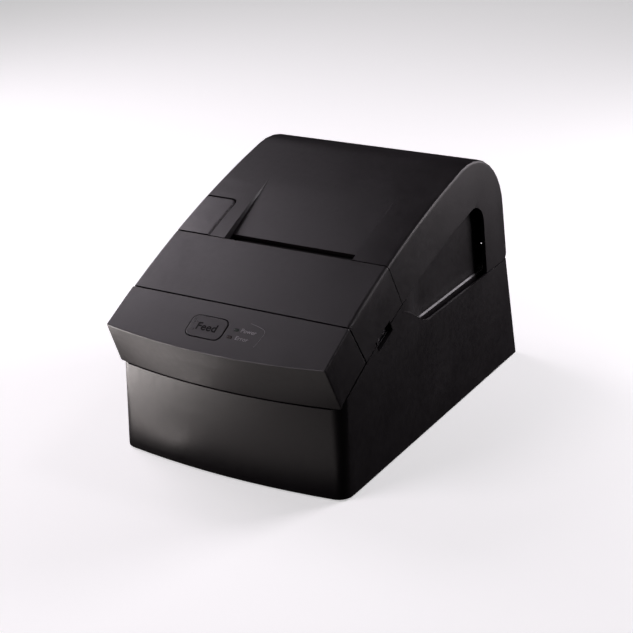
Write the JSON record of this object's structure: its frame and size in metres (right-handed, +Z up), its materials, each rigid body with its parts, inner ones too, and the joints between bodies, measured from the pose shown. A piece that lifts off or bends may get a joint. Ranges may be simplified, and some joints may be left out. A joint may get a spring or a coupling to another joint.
{
  "type": "receipt printer",
  "caption": "Desktop thermal receipt printer: black case with a bowed front panel, a cutter cover, a hinged rear lid over the paper well and rear connectors.",
  "frame": {"origin": "middle of the footprint, on the surface that the rubber feet rest on", "axes": "+Y towards the rear of the printer, +Z up, +X to the printer's right-hand side as seen from its front"},
  "size_m": [0.145, 0.2074, 0.1334],
  "materials": {
    "case_plastic": "near-black fine-grained moulding, satin",
    "inner_plastic": "black moulding, matt",
    "button_plastic": "near-black key plastic, smoother than the case",
    "sheet_steel": "zinc-plated sheet and turned steel",
    "aluminium": "extruded, satin",
    "rubber": "black rubber, matt",
    "gear_plastic": "natural acetal",
    "ceramic": "glazed print head ceramic",
    "circuit_board": "solder-masked board",
    "lens": "smoked clear plastic"
  },
  "bodies": {
    "base": {"lower_case": "case_plastic", "bottom_plate": "case_plastic", "front_panel": "case_plastic", "mid_cover": "case_plastic", "paper_bucket": "inner_plastic", "switch_body": "inner_plastic", "feed_switch": "inner_plastic", "paper_end_sensor": "inner_plastic", "power_inlet": "inner_plastic", "drawer_port": "inner_plastic", "usb_port": "inner_plastic", "serial_port": "inner_plastic", "print_frame": "sheet_steel", "tear_bar": "sheet_steel", "head_spring_left": "sheet_steel", "head_spring_right": "sheet_steel", "feed_motor": "sheet_steel", "idler_axle": "sheet_steel", "interface_plate": "sheet_steel", "hinge_pin_left": "sheet_steel", "hinge_pin_right": "sheet_steel", "case_screw_1": "sheet_steel", "case_screw_2": "sheet_steel", "case_screw_3": "sheet_steel", "case_screw_4": "sheet_steel", "head_heat_sink": "aluminium", "rubber_foot_1": "rubber", "rubber_foot_2": "rubber", "rubber_foot_3": "rubber", "rubber_foot_4": "rubber", "thermal_head": "ceramic", "main_board": "circuit_board", "panel_board": "circuit_board", "power_light_pipe": "lens", "error_light_pipe": "lens", "power_lamp": "lens", "error_lamp": "lens"},
    "lid": {"lid": "case_plastic", "platen_holder": "inner_plastic", "platen_bush_left": "gear_plastic", "platen_bush_right": "gear_plastic"},
    "platen": {"platen_shaft": "sheet_steel", "platen_roller": "rubber", "platen_gear": "gear_plastic"},
    "idler": {"idler_gear": "gear_plastic"},
    "motor_rotor": {"motor_shaft": "sheet_steel", "motor_pinion": "gear_plastic"},
    "open_button": {"open_button": "button_plastic"},
    "latch": {"latch_rod": "sheet_steel", "latch_hook_left": "sheet_steel", "latch_hook_right": "sheet_steel", "latch_lever": "inner_plastic"},
    "feed_button": {"feed_button": "button_plastic"},
    "power_rocker": {"power_rocker": "button_plastic"}
  },
  "joints": [
    {"name": "lid_hinge", "type": "hinge", "parent": "base", "child": "lid", "pos_m": [0, 0.0941, 0.0674], "axis": [-1, 0, 0], "range_deg": [0, 85]},
    {"name": "platen_spin", "type": "hinge", "parent": "lid", "child": "platen", "pos_m": [0, -0.01872, 0.0969], "axis": [1, 0, 0], "continuous": true},
    {"name": "idler_spin", "type": "hinge", "parent": "base", "child": "idler", "pos_m": [0, -0.02378, 0.07755], "axis": [1, 0, 0], "continuous": true},
    {"name": "motor_spin", "type": "hinge", "parent": "base", "child": "motor_rotor", "pos_m": [0, -0.03566, 0.06567], "axis": [1, 0, 0], "continuous": true},
    {"name": "open_press", "type": "slide", "parent": "lid", "child": "open_button", "axis": [0, 0.328, -0.9447], "range_m": [0, 0.0025], "stiffness_N_per_m": 400, "springref_m": -0.001},
    {"name": "latch_turn", "type": "hinge", "parent": "base", "child": "latch", "pos_m": [0, -0.0115, 0.088], "axis": [-1, 0, 0], "range_deg": [0, 15]},
    {"name": "feed_press", "type": "slide", "parent": "base", "child": "feed_button", "axis": [0, 0.4524, -0.8918], "range_m": [0, 0.0008], "stiffness_N_per_m": 500, "springref_m": -0.001},
    {"name": "power_rock", "type": "hinge", "parent": "base", "child": "power_rocker", "pos_m": [0.066, -0.044, 0.0728], "axis": [0, 0.3746, -0.9272], "range_deg": [0, 10]}
  ],
  "couplings": [
    {"joint": "idler_spin", "follows": "platen_spin", "ratio": -0.66667},
    {"joint": "motor_spin", "follows": "platen_spin", "ratio": 1.6667},
    {"joint": "latch_turn", "follows": "open_press", "rad_per_m": 95.2}
  ]
}
